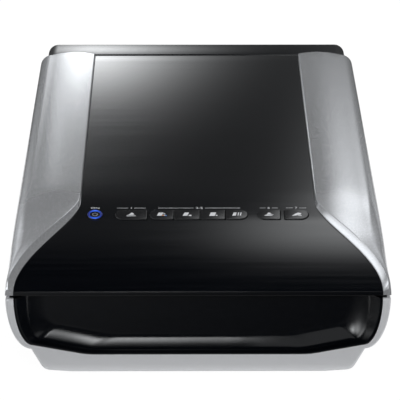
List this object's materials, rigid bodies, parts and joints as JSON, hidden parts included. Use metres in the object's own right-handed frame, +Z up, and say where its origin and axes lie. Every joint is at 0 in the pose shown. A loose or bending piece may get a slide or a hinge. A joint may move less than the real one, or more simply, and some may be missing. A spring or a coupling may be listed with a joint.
{
  "type": "flatbed scanner",
  "caption": "Table-top A4 flatbed scanner with a thick film lid on lifting hinges, a button row on its sloped front and a finger recess below.",
  "frame": {"origin": "centre of the footprint on the table, under the feet", "axes": "+X to the right seen from the front, -Y towards the user, +Z up"},
  "size_m": [0.272, 0.48, 0.111],
  "materials": {
    "silver_shell": "metallic silver paint, satin",
    "gloss_black": "gloss",
    "lid_panel": "dark hairline under gloss",
    "button_black": "gloss",
    "satin_black": "satin",
    "white_plastic": "matt",
    "steel": "bright",
    "circuit_board": "solder mask",
    "nylon": "satin",
    "ribbon": "satin",
    "rubber": "matt",
    "platen": "clear",
    "mirror_glass": "polished"
  },
  "bodies": {
    "base": {"base_tray": "silver_shell", "front_panel": "gloss_black", "base_bezel": "satin_black", "platen_glass": "platen", "rear_cover": "gloss_black", "foot_front_left": "rubber", "foot_front_right": "rubber", "foot_back_left": "rubber", "foot_back_right": "rubber", "usb_port": "satin_black", "dc_jack": "satin_black", "film_unit_socket": "satin_black", "guide_rod": "steel", "slide_rail": "steel", "main_board": "circuit_board", "stepper_motor": "steel", "motor_plate": "steel", "drive_belt": "rubber", "belt_tensioner": "steel", "tension_spring": "steel", "flat_cable": "ribbon"},
    "hinge_posts": {"hinge_post_left": "steel", "hinge_post_right": "steel", "hinge_pin_left": "steel", "hinge_pin_right": "steel"},
    "lid": {"lid_top_panel": "lid_panel", "lid_wing_left": "silver_shell", "lid_wing_right": "silver_shell", "lid_frame": "satin_black", "film_light_guide": "white_plastic", "film_lamp_board": "circuit_board", "button_board": "circuit_board", "hinge_bracket_left": "steel", "hinge_bracket_right": "steel"},
    "mat": {"document_mat": "white_plastic"},
    "power_button": {"power_button": "button_black"},
    "auto_button": {"auto_button": "button_black"},
    "document_button_1": {"document_button_1": "button_black"},
    "document_button_2": {"document_button_2": "button_black"},
    "document_button_3": {"document_button_3": "button_black"},
    "document_button_4": {"document_button_4": "button_black"},
    "copy_button": {"copy_button": "button_black"},
    "mail_button": {"mail_button": "button_black"},
    "carriage": {"carriage_body": "satin_black", "carriage_bush_front": "nylon", "carriage_bush_rear": "nylon", "carriage_slider": "nylon", "lamp_bar": "white_plastic", "mirror_1": "mirror_glass", "mirror_2": "mirror_glass", "mirror_3": "mirror_glass", "lens_barrel": "satin_black", "ccd_board": "circuit_board"},
    "drive_gear": {"reduction_gear": "nylon", "drive_pulley": "nylon"},
    "pinion": {"motor_pinion": "steel"},
    "idler": {"idler_pulley": "nylon"},
    "lock": {"transport_lock": "satin_black"}
  },
  "joints": [
    {"name": "hinge_lift", "type": "slide", "parent": "base", "child": "hinge_posts", "axis": [0, 0, 1], "range_m": [0, 0.022]},
    {"name": "lid_hinge", "type": "hinge", "parent": "hinge_posts", "child": "lid", "pos_m": [0, 0.189, 0.098], "axis": [-1, 0, 0], "range_deg": [0, 80]},
    {"name": "mat_slide", "type": "slide", "parent": "lid", "child": "mat", "axis": [0, -1, 0], "range_m": [0, 0.008]},
    {"name": "power_press", "type": "slide", "parent": "lid", "child": "power_button", "axis": [0, 0.2757, -0.9612], "range_m": [0, 0.0009], "stiffness_N_per_m": 200, "springref_m": -0.004},
    {"name": "auto_press", "type": "slide", "parent": "lid", "child": "auto_button", "axis": [0, 0.2757, -0.9612], "range_m": [0, 0.0009], "stiffness_N_per_m": 200, "springref_m": -0.004},
    {"name": "document_1_press", "type": "slide", "parent": "lid", "child": "document_button_1", "axis": [0, 0.2757, -0.9612], "range_m": [0, 0.0009], "stiffness_N_per_m": 200, "springref_m": -0.004},
    {"name": "document_2_press", "type": "slide", "parent": "lid", "child": "document_button_2", "axis": [0, 0.2757, -0.9612], "range_m": [0, 0.0009], "stiffness_N_per_m": 200, "springref_m": -0.004},
    {"name": "document_3_press", "type": "slide", "parent": "lid", "child": "document_button_3", "axis": [0, 0.2757, -0.9612], "range_m": [0, 0.0009], "stiffness_N_per_m": 200, "springref_m": -0.004},
    {"name": "document_4_press", "type": "slide", "parent": "lid", "child": "document_button_4", "axis": [0, 0.2757, -0.9612], "range_m": [0, 0.0009], "stiffness_N_per_m": 200, "springref_m": -0.004},
    {"name": "copy_press", "type": "slide", "parent": "lid", "child": "copy_button", "axis": [0, 0.2757, -0.9612], "range_m": [0, 0.0009], "stiffness_N_per_m": 200, "springref_m": -0.004},
    {"name": "mail_press", "type": "slide", "parent": "lid", "child": "mail_button", "axis": [0, 0.2757, -0.9612], "range_m": [0, 0.0009], "stiffness_N_per_m": 200, "springref_m": -0.004},
    {"name": "carriage_slide", "type": "slide", "parent": "base", "child": "carriage", "axis": [0, 1, 0], "range_m": [0, 0.30012], "deforming": ["flat_cable"]},
    {"name": "drive_gear_spin", "type": "hinge", "parent": "base", "child": "drive_gear", "pos_m": [0.01, 0.185, 0.0176], "axis": [0, 0, 1], "range_deg": [-1, 2098]},
    {"name": "pinion_spin", "type": "hinge", "parent": "base", "child": "pinion", "pos_m": [0.01, 0.2025, 0.0176], "axis": [0, 0, 1], "range_deg": [-8389.1, 1]},
    {"name": "idler_spin", "type": "hinge", "parent": "base", "child": "idler", "pos_m": [0.01, -0.178, 0.013], "axis": [0, 0, 1], "range_deg": [-1, 2098]},
    {"name": "lock_slide", "type": "slide", "parent": "base", "child": "lock", "axis": [1, 0, 0], "range_m": [0, 0.008]}
  ],
  "couplings": [
    {"joint": "drive_gear_spin", "follows": "carriage_slide", "rad_per_m": 121.95},
    {"joint": "pinion_spin", "follows": "carriage_slide", "rad_per_m": -487.8},
    {"joint": "idler_spin", "follows": "carriage_slide", "rad_per_m": 121.95}
  ]
}
